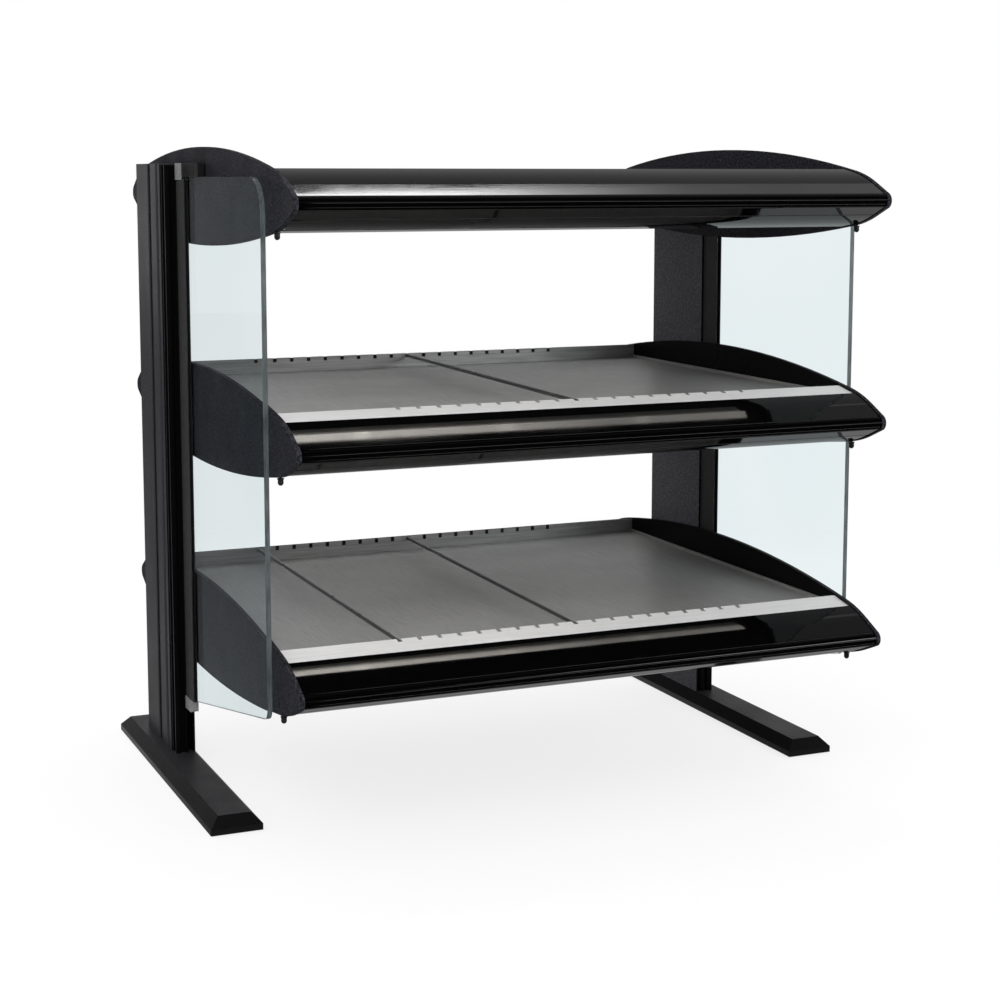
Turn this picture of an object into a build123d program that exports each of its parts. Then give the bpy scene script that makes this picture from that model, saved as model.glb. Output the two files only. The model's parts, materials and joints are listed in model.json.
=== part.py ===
from build123d import *
from functools import cache
import os

# Heated merchandiser: a canopy and two heated shelves carried between two
# fluted posts on long feet, with a glass panel at each end.
# Millimetres. X runs left to right, Y from the customer's side to the
# server's side, Z up. The origin is on the counter, under the middle.

# Whole object
CAP_SPAN = 762.0           # outer face to outer face of a pair of end caps
TIER_PITCH = 274.0         # from one tier to the next
CANOPY_TOP = 820.0         # highest point of the canopy's end caps
UPPER_TOP = CANOPY_TOP - TIER_PITCH
LOWER_TOP = UPPER_TOP - TIER_PITCH
CLEARANCE = 0.3            # round a screw or shaft that passes through a sheet

# End caps: a lens with a blunt nose at each end. Heights are below its top.
CAP_THICK = 6.0
CAP_TOP_RADIUS = 1790.0
CAP_TOP_APEX = (22.6, 0.0)
CAP_BOTTOM_RADIUS = 2154.0
CAP_BOTTOM_APEX = (14.7, -122.0)
FRONT_SHOULDER_Y = -328.0
FRONT_CHIN_Y = -330.0
FRONT_CORNER = (-395.24, -67.0)
REAR_SHOULDER_Y = 340.0
REAR_CHIN_Y = 300.0
REAR_CORNER = (392.08, -60.0)
NOSE_RADIUS = 10.0
SHOULDER_RADIUS = 180.0
CAP_EDGE_RADIUS = 1.0
CAP_X_OUT = CAP_SPAN / 2
CAP_X_IN = CAP_X_OUT - CAP_THICK

# Front fascia: a hollow aluminium extrusion that follows the caps' nose
FASCIA_INSET = 1.0
FASCIA_WALL = 2.5
SHELF_WEB_Y = -320.0
CANOPY_WEB_Y = -288.0
COVER_FRONT_Y = -300.0
GROOVE_RADIUS = 1.1
BEAD_RADIUS = 1.6
BEAD_SINK = 0.8
BEAD_HEIGHT = -65.5
GROOVE_HEIGHTS = (-58.0, -70.5, -84.0)

# Heated pan of a shelf
SHEET = 1.5
PAN_SURFACE = -41.0
PAN_FRONT_Y = -283.0
LIP_TOP = -28.5
LIP_END = -36.3
LIP_RETURN = 12.0
RAIL_Y = 285.0
RAIL_TOP = -20.7
PAN_UPSTAND = 4.0
NOTCH_PITCH = 25.4
NOTCH_LAST = 9
NOTCH_WIDTH = 5.6
NOTCH_REACH = 8.0
FRONT_NOTCH_FLOOR = -33.8
REAR_NOTCH_FLOOR = -27.0

# Divider rods
ROD_RADIUS = 2.5
ROD_GAP = 0.3
ROD_FRONT_Y = -290.5
ROD_REAR_Y = 292.0
ROD_CHAMFER = 0.6

# Heating under the pan and over each display
MAT_THICK = 2.5
MAT_SIZE = (660.0, 500.0)
BOARD_THICK = 20.0
BOARD_SIZE = (680.0, 516.0)
COVER_TOP = -96.0
COVER_SHEET = 1.2
COVER_FLANGE = 16.0
REAR_PANEL_Y = 300.0
REAR_PANEL_TOP = -22.5
REAR_LEDGE_TOP = -31.5
CANOPY_COVER_TOP = -30.0
TROUGH_HALF_LENGTH = 330.0
TROUGH_MOUTH = 55.0
TROUGH_BACK = 45.0
TROUGH_TOP = -72.0
TROUGH_SHEET = 1.0
TROUGH_FLANGE = 8.0
ELEMENT_RADIUS = 4.0
ELEMENT_Y = 22.0
ELEMENT_Z = -84.0
ELEMENT_END_X = 345.0
ELEMENT_END_GAP = 20.0
ELEMENT_PIN = (1.6, 9.0)
GUARD_WIRE = 1.5
GUARD_PITCH = 60.0
GUARD_END_GAP = 12.0
GUARD_LAP = 6.0
GUARD_LINES = (-36.0, 0.0, 36.0)

# Display lamps
LAMP_PITCH = 200.0
LAMP_Z = -80.0
LAMP_RADIUS = 11.0
LAMP_BASE_Y = -165.0
LAMP_LENGTH = 50.0
WINDOW_SIZE = (700.0, 60.0)
WINDOW_Y = -200.0
LENS_LAP = 8.0
LENS_THICK = 2.5
HOLDER_SIZE = (26.0, 26.0)
HOLDER_SETBACK = 4.0
HOLDER_RISE = 12.0

# Posts and feet
POST_X = (381.0, 410.0)
POST_Y = (86.0, 233.0)
POST_TOP = 800.0
FOOT_TOP = 22.0
FOOT_BOTTOM = 1.5
FOOT_SIDE_TOP = 9.0
FOOT_WIDTH = 65.0
FOOT_CENTRE_X = 402.0
FOOT_Y = (-192.0, 300.0)
FOOT_TAPER = 12.0
PAD_RADIUS = 9.0
PAD_THICK = 4.0
PAD_CHAMFER = 0.8
PAD_OFFSET = 18.0
PAD_ROWS = (-166.0, 274.0)
PORT_X = 394.0
PORT_ROWS = (108.0, 225.0)
PORT_RADIUS = 6.0
SCREW_RADIUS = 2.75
FOOT_CORNER_RADIUS = 1.5
FOOT_RECESS_HALF = 20.0
FOOT_RECESS_Y = (-135.0, 245.0)
FOOT_RECESS_TOP = 12.0
FOOT_SCREW_HEAD = (5.0, 4.5)
FOOT_SCREW_END = 62.0

# Post profile: ground face, ribs on it, grooves in it, and hollows behind it
POST_CAP_THICK = 2.0
POST_GROUND_X = 407.0
POST_HOLLOW_X = (384.0, 403.0)
POST_HOLLOWS = ((104.0, 158.0), (162.0, 229.0))
POST_RIBS = (
    {"y": (104.0, 115.0), "outer_x": 409.0, "edge_radius": 0.8},
    {"y": (120.0, 152.0), "outer_x": 410.0, "edge_radius": 2.9},
    {"y": (167.0, 233.0), "outer_x": 409.5, "edge_radius": 2.0},
)
POST_GROOVES = (
    {"y": (88.5, 101.0), "floor_x": 404.0},
    {"y": (155.0, 164.0), "floor_x": 404.0},
)
POST_FRONT_GROOVE_X = (394.0, 401.0)
POST_FRONT_GROOVE_DEPTH = 5.0

# Glass end panels
GLASS_X = 387.5
GLASS_THICK = 6.0
GLASS_TOP = 782.6
GLASS_FRONT_Y = -287.0
GLASS_REAR_Y = 98.0
GLASS_FRONT_BOTTOM = 164.6
GLASS_REAR_BOTTOM = 92.3
GLASS_TOP_RADIUS = 42.0
GLASS_BOTTOM_RADIUS = 16.0
CHANNEL_X = (383.5, 391.5)
CHANNEL_DEPTH = 14.0
GASKET_PROUD = 2.0
GASKET_FOOT = 5.0
GASKET_STRIP_FRONT_Y = 47.0
CLAMP_X = (382.0, 393.0)
CLAMP_FRONT_Y = 60.0
CLAMP_HEIGHTS = ((84.0, 100.0), (779.0, 800.0))
CLIP_X = (383.0, 391.0)
CLIP_FRONT_Y = -22.0
CLIP_TOP = 800.0
CLIP_GROOVES = (2.0, 20.0)
CLIP_GROOVE_WIDTH = 2.0
CLIP_GROOVE_DEPTH = 0.8

# Bolts that hold the caps to the posts
CAP_BOLT_ROWS = (140.0, 200.0)
CAP_BOLT_Z = -62.0
CAP_BOLT_RADIUS = 3.0
CAP_BOLT_HEAD = (6.0, 4.0)
CAP_BOLT_REACH = 9.0
CAP_BOLT_HOLE = 5.0
HEX_DEPTH = 2.5

# Acorn screws in the lower edges of the end caps
ACORN_X = 378.0
ACORN_Y = -310.0
ACORN_RADIUS = 3.3
ACORN_FLANGE = (3.9, 1.2)
ACORN_SHANK = (1.6, 9.0)
ACORN_NECK = 0.1
ACORN_DOME_DROP = 4.0

# Controls on the rear panels
KNOB_X = 210.0
KNOB_Z = -66.0
KNOB_RADIUS = 17.0
KNOB_DEPTH = 16.0
KNOB_GAP = 1.0
KNOB_SKIRT = 4.0
KNOB_HUB_INSET = 4.0
KNOB_BAR_HALF = 3.5
KNOB_BAR_PROUD = 5.0
KNOB_BAR_INSET = 0.5
SHAFT_RADIUS = 3.0
SHAFT_IN = 13.0
SHAFT_OUT = 13.0
RUNNING_GAP = 0.06
THERMOSTAT_SIZE = (38.0, 28.0, 38.0)
THERMOSTAT_CORNER = 3.0
TAB_SIZE = (4.8, 8.0, 0.8)
TAB_OFFSET = 8.0
PANEL_SCREW_RADIUS = 1.5
SWITCH_X = (200.0, 245.0)
SWITCH_Z = -62.0
SWITCH_OPENING = (14.0, 26.0)
SWITCH_FRAME = (20.0, 32.0)
SWITCH_FRAME_THICK = 2.5
SWITCH_DEPTH = 20.0
SWITCH_POCKET = 12.0
SWITCH_WALL = 1.0
ROCKER_TILT = 10.0
ROCKER_INSET = (0.4, 1.4)
ROCKER_FRONT = 7.0
ROCKER_WAIST = 5.2
ROCKER_SHOULDER = 1.5
ROCKER_BACK = -4.5
ROCKER_BACK_SHARE = 0.45
PIVOT_RADIUS = 1.5
PIVOT_IN = 3.0
PIVOT_PROUD = 0.9
PIVOT_EAR = 0.8
PILOT_X = 165.0
PILOT_RADIUS = 4.0
PILOT_RIM = (5.5, 1.5)
PILOT_DEPTH = 14.0
INLET_X = -240.0
INLET_Z = -62.0
INLET_BODY = (27.0, 20.0, 24.0)
INLET_FLANGE = (50.0, 24.0, 3.0)
INLET_MOUTH = (24.0, 16.0, 16.0)
INLET_SCREW_OFFSET = 20.0
INLET_SCREW_HEAD = 1.5
INLET_SCREW_END = 6.0
BLADE_PLACES = ((-7.0, -2.0), (0.0, 2.0), (7.0, -2.0))
BLADE_SIZE = (2.0, 4.0)
BLADE_TIP = 5.0


def block(x, y, z):
    """A box between two limits on each axis."""
    size = [abs(b - a) for a, b in (x, y, z)]
    centre = [(a + b) / 2 for a, b in (x, y, z)]
    return Pos(*centre) * Box(*size)


def rod_x(radius, x, y, z):
    return Pos((x[0] + x[1]) / 2, y, z) * Rot(0, 90, 0) * Cylinder(radius, abs(x[1] - x[0]))


def rod_y(radius, x, y, z):
    return Pos(x, (y[0] + y[1]) / 2, z) * Rot(90, 0, 0) * Cylinder(radius, abs(y[1] - y[0]))


def rod_z(radius, x, y, z):
    return Pos(x, y, (z[0] + z[1]) / 2) * Cylinder(radius, abs(z[1] - z[0]))


def prism_x(points, x):
    """A straight-sided outline in Y and Z, extruded between two X limits."""
    face = make_face(Polyline(*points, close=True))
    return extrude(Plane.YZ * face, amount=x[1] - x[0]).moved(Location((x[0], 0, 0)))


def mirrored(solid):
    return mirror(solid, about=Plane.YZ)


def top_curve(y):
    return CAP_TOP_APEX[1] - (y - CAP_TOP_APEX[0]) ** 2 / (2 * CAP_TOP_RADIUS)


def bottom_curve(y):
    return CAP_BOTTOM_APEX[1] + (y - CAP_BOTTOM_APEX[0]) ** 2 / (2 * CAP_BOTTOM_RADIUS)


@cache
def cap_face():
    """The end cap's outline, in Y and Z, with its top at height 0."""
    front_top = (FRONT_SHOULDER_Y, top_curve(FRONT_SHOULDER_Y))
    rear_top = (REAR_SHOULDER_Y, top_curve(REAR_SHOULDER_Y))
    front_low = (FRONT_CHIN_Y, bottom_curve(FRONT_CHIN_Y))
    rear_low = (REAR_CHIN_Y, bottom_curve(REAR_CHIN_Y))
    edges = [
        ThreePointArc(rear_top, CAP_TOP_APEX, front_top),
        Line(front_top, FRONT_CORNER),
        Line(FRONT_CORNER, front_low),
        ThreePointArc(front_low, CAP_BOTTOM_APEX, rear_low),
        Line(rear_low, REAR_CORNER),
        Line(REAR_CORNER, rear_top),
    ]
    face = make_face(edges)
    for corner in (front_top, rear_top, front_low, rear_low):
        face = round_corner(face, corner, SHOULDER_RADIUS)
    for corner in (FRONT_CORNER, REAR_CORNER):
        face = round_corner(face, corner, NOSE_RADIUS)
    return face


def round_corner(face, corner, radius):
    nearest = face.vertices().sort_by_distance((corner[0], corner[1], 0))[0]
    return fillet(nearest, radius)


def lens_solid(inset, x):
    """The cap's lens, drawn in by the inset, extruded between two X limits."""
    face = cap_face()
    if inset:
        face = offset(face, -inset)
    return extrude(Plane.YZ * face, amount=x[1] - x[0]).moved(Location((x[0], 0, 0)))


def end_cap():
    """Right-hand end cap, with holes for its two bolts and its acorn screw."""
    cap = lens_solid(0, (CAP_X_IN, CAP_X_OUT))
    rims = cap.edges().filter_by(lambda e: abs(e.center().X - CAP_X_OUT) < 0.01)
    cap = fillet(rims, CAP_EDGE_RADIUS)
    for y in CAP_BOLT_ROWS:
        cap -= rod_x(CAP_BOLT_RADIUS + CLEARANCE, (CAP_X_IN - 1, CAP_X_OUT + 1), y, CAP_BOLT_Z)
    shank_radius, shank_length = ACORN_SHANK
    bore = (acorn_seat() - 5, acorn_seat() + shank_length)
    return cap - rod_z(shank_radius + RUNNING_GAP, ACORN_X, ACORN_Y, bore)


def cap_bolts():
    """Right-hand pair of bolts: head inside the tier, shank into the post."""
    head_radius, head_height = CAP_BOLT_HEAD
    bolts = []
    for y in CAP_BOLT_ROWS:
        head = rod_x(head_radius, (CAP_X_IN - head_height, CAP_X_IN), y, CAP_BOLT_Z)
        shank = rod_x(CAP_BOLT_RADIUS, (CAP_X_IN - 1, POST_X[0] + CAP_BOLT_REACH), y, CAP_BOLT_Z)
        socket = Pos(CAP_X_IN - head_height, y, CAP_BOLT_Z) * Rot(0, 90, 0)
        socket = socket * extrude(RegularPolygon(head_radius / 2, 6), amount=HEX_DEPTH)
        bolts.append(head + shank - socket)
    return bolts


def fascia_outline_point(height):
    """Y of the front fascia's outer surface at a height near its nose."""
    edge_y = -500.0
    probe = lens_solid(FASCIA_INSET, (-1, 1)) & block((-1, 1), (edge_y, 0), (height - 0.01, height + 0.01))
    return probe.bounding_box().min.Y


def front_fascia(web_y, rear_y):
    """Hollow nose with a flat web behind, a bead and three fine grooves."""
    x = (-CAP_X_IN, CAP_X_IN)
    outer = lens_solid(FASCIA_INSET, x)
    inner = lens_solid(FASCIA_INSET + FASCIA_WALL, (x[0] - 1, x[1] + 1))
    nose = outer & block(x, (-400, web_y), (-130, 0))
    nose -= inner & block((x[0] - 1, x[1] + 1), (-400, web_y - FASCIA_WALL), (-130, 0))
    if rear_y > web_y:
        skin = outer - inner
        nose += skin & block(x, (web_y - 1, rear_y), (-130, -70))
    for height in GROOVE_HEIGHTS:
        nose -= rod_x(GROOVE_RADIUS, (x[0] - 1, x[1] + 1), fascia_outline_point(height), height)
    nose += rod_x(BEAD_RADIUS, x, fascia_outline_point(BEAD_HEIGHT) + BEAD_SINK, BEAD_HEIGHT)
    return nose


@cache
def acorn_seat():
    """Lowest height of the cap's edge over the width of the acorn's flange."""
    reach = ACORN_FLANGE[0]
    strip = block((-1, 1), (ACORN_Y - reach, ACORN_Y + reach), (-200, 0))
    return (lens_solid(0, (-1, 1)) & strip).bounding_box().min.Z


def acorn_screw():
    """Acorn-headed screw in the lower edge of the right-hand cap."""
    seat = acorn_seat() - ACORN_NECK
    flange_radius, flange_thick = ACORN_FLANGE
    shank_radius, shank_length = ACORN_SHANK
    flange_low = seat - flange_thick
    dome_z = flange_low - ACORN_DOME_DROP
    shank = rod_z(shank_radius, ACORN_X, ACORN_Y, (flange_low, seat + shank_length))
    flange = rod_z(flange_radius, ACORN_X, ACORN_Y, (flange_low, seat))
    body = rod_z(ACORN_RADIUS, ACORN_X, ACORN_Y, (dome_z, flange_low + 1))
    dome = Pos(ACORN_X, ACORN_Y, dome_z) * Sphere(ACORN_RADIUS)
    return shank + flange + body + dome


def pan():
    """Sheet pan: flat heated base, notched sloping lip and notched rear rail."""
    x = (-CAP_X_IN, CAP_X_IN)
    low = PAN_SURFACE - SHEET
    riser_y = PAN_FRONT_Y - SHEET
    outline = [
        (RAIL_Y + SHEET, low),
        (RAIL_Y + SHEET, RAIL_TOP),
        (RAIL_Y, RAIL_TOP),
        (RAIL_Y, PAN_SURFACE),
        (PAN_FRONT_Y, PAN_SURFACE),
        (PAN_FRONT_Y, LIP_TOP),
        (SHELF_WEB_Y, LIP_END),
        (SHELF_WEB_Y, LIP_END - LIP_RETURN),
        (SHELF_WEB_Y + SHEET, LIP_END - LIP_RETURN),
        (SHELF_WEB_Y + SHEET, LIP_END - 1.2 * SHEET),
        (riser_y, LIP_TOP - 1.3 * SHEET),
        (riser_y, low),
    ]
    tray = prism_x(outline, x)
    for side in (-1, 1):
        edge = side * CAP_X_IN
        inner = edge - side * SHEET
        ends = (min(edge, inner), max(edge, inner))
        tray += block(ends, (PAN_FRONT_Y - 1, RAIL_Y + 1), (low, PAN_SURFACE + PAN_UPSTAND))
    for k in range(-NOTCH_LAST, NOTCH_LAST + 1):
        slot = (k * NOTCH_PITCH - NOTCH_WIDTH / 2, k * NOTCH_PITCH + NOTCH_WIDTH / 2)
        tray -= block(slot, (PAN_FRONT_Y - NOTCH_REACH, PAN_FRONT_Y + 1), (FRONT_NOTCH_FLOOR, 0))
        tray -= block(slot, (RAIL_Y - 1, RAIL_Y + SHEET + 1), (REAR_NOTCH_FLOOR, 0))
    return tray


def divider_rod(k):
    """Straight rod that lies in one front notch and one rear notch."""
    front_z = FRONT_NOTCH_FLOOR + ROD_GAP + ROD_RADIUS
    rear_z = REAR_NOTCH_FLOOR + ROD_GAP + ROD_RADIUS
    rise = (rear_z - front_z) / (RAIL_Y - PAN_FRONT_Y)
    start = Vector(k * NOTCH_PITCH, ROD_FRONT_Y, front_z + rise * (ROD_FRONT_Y - PAN_FRONT_Y))
    end = Vector(k * NOTCH_PITCH, ROD_REAR_Y, front_z + rise * (ROD_REAR_Y - PAN_FRONT_Y))
    axis = Plane(origin=start, z_dir=end - start)
    rod = extrude(axis * Circle(ROD_RADIUS), amount=(end - start).length)
    return chamfer(rod.edges().filter_by(GeomType.CIRCLE), ROD_CHAMFER)


def heating_mat():
    half_x, half_y = MAT_SIZE[0] / 2, MAT_SIZE[1] / 2
    top = PAN_SURFACE - SHEET
    return block((-half_x, half_x), (-half_y, half_y), (top - MAT_THICK, top))


def insulation_board():
    half_x, half_y = BOARD_SIZE[0] / 2, BOARD_SIZE[1] / 2
    top = PAN_SURFACE - SHEET - MAT_THICK
    return block((-half_x, half_x), (-half_y, half_y), (top - BOARD_THICK, top))


def bottom_cover(front_y):
    """Plain sheet cover under a tier, flanged up where it meets the caps."""
    x = (-CAP_X_IN, CAP_X_IN)
    rear_y = REAR_PANEL_Y - SHEET
    low = COVER_TOP - COVER_SHEET
    cover = block(x, (front_y, rear_y), (low, COVER_TOP))
    for side in (-1, 1):
        edge = side * CAP_X_IN
        inner = edge - side * COVER_SHEET
        ends = (min(edge, inner), max(edge, inner))
        cover += block(ends, (front_y, rear_y), (low, COVER_TOP + COVER_FLANGE))
    return cover


def heater_cover(front_y):
    """Cover of a tier that heats and lights the display below it."""
    cover = bottom_cover(front_y)
    depth = (COVER_TOP - 5, COVER_TOP + 5)
    mouth_x = (-TROUGH_HALF_LENGTH, TROUGH_HALF_LENGTH)
    cover -= block(mouth_x, (-TROUGH_MOUTH, TROUGH_MOUTH), depth)
    half_x, half_y = WINDOW_SIZE[0] / 2, WINDOW_SIZE[1] / 2
    cover -= block((-half_x, half_x), (WINDOW_Y - half_y, WINDOW_Y + half_y), depth)
    return cover


def reflector():
    """Bright trough over the heating element, closed at both ends."""
    t = TROUGH_SHEET
    outer = [
        (-TROUGH_MOUTH - TROUGH_FLANGE, COVER_TOP),
        (-TROUGH_MOUTH - TROUGH_FLANGE, COVER_TOP + t),
        (-TROUGH_MOUTH - t, COVER_TOP + t),
        (-TROUGH_BACK - t, TROUGH_TOP),
        (TROUGH_BACK + t, TROUGH_TOP),
        (TROUGH_MOUTH + t, COVER_TOP + t),
        (TROUGH_MOUTH + TROUGH_FLANGE, COVER_TOP + t),
        (TROUGH_MOUTH + TROUGH_FLANGE, COVER_TOP),
    ]
    hollow = [
        (-TROUGH_MOUTH, COVER_TOP - 1),
        (-TROUGH_MOUTH, COVER_TOP),
        (-TROUGH_BACK, TROUGH_TOP - t),
        (TROUGH_BACK, TROUGH_TOP - t),
        (TROUGH_MOUTH, COVER_TOP),
        (TROUGH_MOUTH, COVER_TOP - 1),
    ]
    half = TROUGH_HALF_LENGTH
    trough = prism_x(outer, (-half - t, half + t)) - prism_x(hollow, (-half, half))
    for y in (-ELEMENT_Y, ELEMENT_Y):
        trough -= rod_x(ELEMENT_RADIUS, (half - 1, half + t + 1), y, ELEMENT_Z)
    return trough


def heater_element():
    """Sheathed tubular element, bent into one long U with its ends to the right."""
    bend_x = -TROUGH_HALF_LENGTH + ELEMENT_END_GAP + ELEMENT_Y
    path = Wire([
        Line((ELEMENT_END_X, -ELEMENT_Y, ELEMENT_Z), (bend_x, -ELEMENT_Y, ELEMENT_Z)),
        ThreePointArc(
            (bend_x, -ELEMENT_Y, ELEMENT_Z),
            (bend_x - ELEMENT_Y, 0, ELEMENT_Z),
            (bend_x, ELEMENT_Y, ELEMENT_Z),
        ),
        Line((bend_x, ELEMENT_Y, ELEMENT_Z), (ELEMENT_END_X, ELEMENT_Y, ELEMENT_Z)),
    ])
    start = Plane(origin=(ELEMENT_END_X, -ELEMENT_Y, ELEMENT_Z), z_dir=(-1, 0, 0))
    element = sweep(start * Circle(ELEMENT_RADIUS), path=path)
    pin_radius, pin_length = ELEMENT_PIN
    for y in (-ELEMENT_Y, ELEMENT_Y):
        element += rod_x(pin_radius, (ELEMENT_END_X - 2, ELEMENT_END_X + pin_length), y, ELEMENT_Z)
    return element


def element_guard():
    """Wire guard across the trough's mouth: long wires that rest on cross wires."""
    cross_z = COVER_TOP - COVER_SHEET - GUARD_WIRE
    line_z = cross_z + 2 * GUARD_WIRE
    half = TROUGH_HALF_LENGTH - GUARD_END_GAP
    reach = TROUGH_MOUTH + GUARD_LAP
    count = int(2 * half // GUARD_PITCH)
    first = -count * GUARD_PITCH / 2
    cross_places = [first + i * GUARD_PITCH for i in range(count + 1)]
    wires = [rod_y(GUARD_WIRE, x, (-reach, reach), cross_z) for x in cross_places]
    return wires + [rod_x(GUARD_WIRE, (-half, half), y, line_z) for y in GUARD_LINES]


def lamp_places():
    return [k * LAMP_PITCH for k in (-1, 0, 1)]


def lamp_lens():
    half_x = WINDOW_SIZE[0] / 2 + LENS_LAP
    half_y = WINDOW_SIZE[1] / 2 + LENS_LAP
    y = (WINDOW_Y - half_y, WINDOW_Y + half_y)
    return block((-half_x, half_x), y, (COVER_TOP, COVER_TOP + LENS_THICK))


def lamp_holder(x):
    """Ceramic holder that stands on the cover behind the window."""
    width, depth = HOLDER_SIZE
    front = LAMP_BASE_Y + LENS_LAP + HOLDER_SETBACK
    z = (COVER_TOP, LAMP_Z + HOLDER_RISE)
    body = block((x - width / 2, x + width / 2), (front, front + depth), z)
    body += rod_y(LAMP_RADIUS - 1, x, (LAMP_BASE_Y, front + 1), LAMP_Z)
    return body


def lamp(x):
    """Tubular lamp with a rounded end, lying over the window."""
    tube = rod_y(LAMP_RADIUS, x, (LAMP_BASE_Y - LAMP_LENGTH, LAMP_BASE_Y), LAMP_Z)
    return tube + Pos(x, LAMP_BASE_Y - LAMP_LENGTH, LAMP_Z) * Sphere(LAMP_RADIUS)


def canopy_top_cover():
    """Flat lid of the canopy, flanged down at both ends."""
    x = (-CAP_X_IN, CAP_X_IN)
    y = (CANOPY_WEB_Y, REAR_PANEL_Y - SHEET)
    low = CANOPY_COVER_TOP - COVER_SHEET
    cover = block(x, y, (low, CANOPY_COVER_TOP))
    for side in (-1, 1):
        edge = side * CAP_X_IN
        inner = edge - side * COVER_SHEET
        ends = (min(edge, inner), max(edge, inner))
        cover += block(ends, y, (low - COVER_FLANGE, low))
    return cover


def rear_panel(top):
    """Flat panel on the server's side."""
    x = (-CAP_X_IN, CAP_X_IN)
    return block(x, (REAR_PANEL_Y - SHEET, REAR_PANEL_Y), (COVER_TOP - COVER_SHEET, top))


def through_panel(x, z):
    return block(x, (REAR_PANEL_Y - SHEET - 1, REAR_PANEL_Y + 1), z)


def shelf_rear_panel():
    """Rear panel of a shelf, with a ledge that meets the pan's rail."""
    panel = rear_panel(REAR_PANEL_TOP)
    ledge = (REAR_LEDGE_TOP - SHEET, REAR_LEDGE_TOP)
    panel += block((-CAP_X_IN, CAP_X_IN), (RAIL_Y + SHEET, REAR_PANEL_Y), ledge)
    hole = (REAR_PANEL_Y - SHEET - 1, REAR_PANEL_Y + 1)
    panel -= rod_y(SHAFT_RADIUS + CLEARANCE, KNOB_X, hole, KNOB_Z)
    panel -= rod_y(PILOT_RADIUS, PILOT_X, hole, KNOB_Z)
    return panel


def lower_rear_panel():
    panel = shelf_rear_panel()
    half_x = INLET_BODY[0] / 2 + CLEARANCE
    half_z = INLET_BODY[1] / 2 + CLEARANCE
    panel -= through_panel((INLET_X - half_x, INLET_X + half_x), (INLET_Z - half_z, INLET_Z + half_z))
    hole = (REAR_PANEL_Y - SHEET - 1, REAR_PANEL_Y + 1)
    for side in (-1, 1):
        panel -= rod_y(PANEL_SCREW_RADIUS, INLET_X + side * INLET_SCREW_OFFSET, hole, INLET_Z)
    return panel


def canopy_rear_panel():
    panel = rear_panel(CANOPY_COVER_TOP)
    half_x = SWITCH_OPENING[0] / 2 + SWITCH_WALL
    half_z = SWITCH_OPENING[1] / 2 + SWITCH_WALL
    for x in SWITCH_X:
        panel -= through_panel((x - half_x, x + half_x), (SWITCH_Z - half_z, SWITCH_Z + half_z))
    return panel


def thermostat_body():
    """Thermostat behind the rear panel, with a blind bore for its shaft."""
    width, depth, height = THERMOSTAT_SIZE
    tab_width, tab_length, tab_thick = TAB_SIZE
    face_y = REAR_PANEL_Y - SHEET
    rear_y = face_y - depth
    x = (KNOB_X - width / 2, KNOB_X + width / 2)
    z = (KNOB_Z - height / 2, KNOB_Z + height / 2)
    body = block(x, (rear_y, face_y), z)
    body = fillet(body.edges().filter_by(Axis.Y), THERMOSTAT_CORNER)
    for side in (-1, 1):
        for level in (-1, 1):
            tab_x = KNOB_X + side * TAB_OFFSET
            tab_z = KNOB_Z + level * TAB_OFFSET
            body += block(
                (tab_x - tab_width / 2, tab_x + tab_width / 2),
                (rear_y - tab_length, rear_y + 1),
                (tab_z - tab_thick / 2, tab_z + tab_thick / 2),
            )
    bore = (face_y - SHAFT_IN - 1, face_y + 1)
    return body - rod_y(SHAFT_RADIUS + RUNNING_GAP, KNOB_X, bore, KNOB_Z)


def thermostat_shaft():
    reach = (REAR_PANEL_Y - SHEET - SHAFT_IN, REAR_PANEL_Y + SHAFT_OUT)
    return rod_y(SHAFT_RADIUS, KNOB_X, reach, KNOB_Z)


def thermostat_knob():
    """Round knob with a skirt and a grip bar that points to the setting."""
    start = REAR_PANEL_Y + KNOB_GAP
    hub_radius = KNOB_RADIUS - KNOB_HUB_INSET
    skirt = rod_y(KNOB_RADIUS, KNOB_X, (start, start + KNOB_SKIRT), KNOB_Z)
    hub_y = (start + KNOB_SKIRT - 1, start + KNOB_DEPTH - KNOB_BAR_PROUD)
    hub = rod_y(hub_radius, KNOB_X, hub_y, KNOB_Z)
    bar_reach = hub_radius - KNOB_BAR_INSET
    bar = block(
        (KNOB_X - KNOB_BAR_HALF, KNOB_X + KNOB_BAR_HALF),
        (start + KNOB_SKIRT - 1, start + KNOB_DEPTH),
        (KNOB_Z - bar_reach, KNOB_Z + bar_reach),
    )
    knob = skirt + hub + bar
    return knob - rod_y(SHAFT_RADIUS, KNOB_X, (start - 1, REAR_PANEL_Y + SHAFT_OUT), KNOB_Z)


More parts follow.
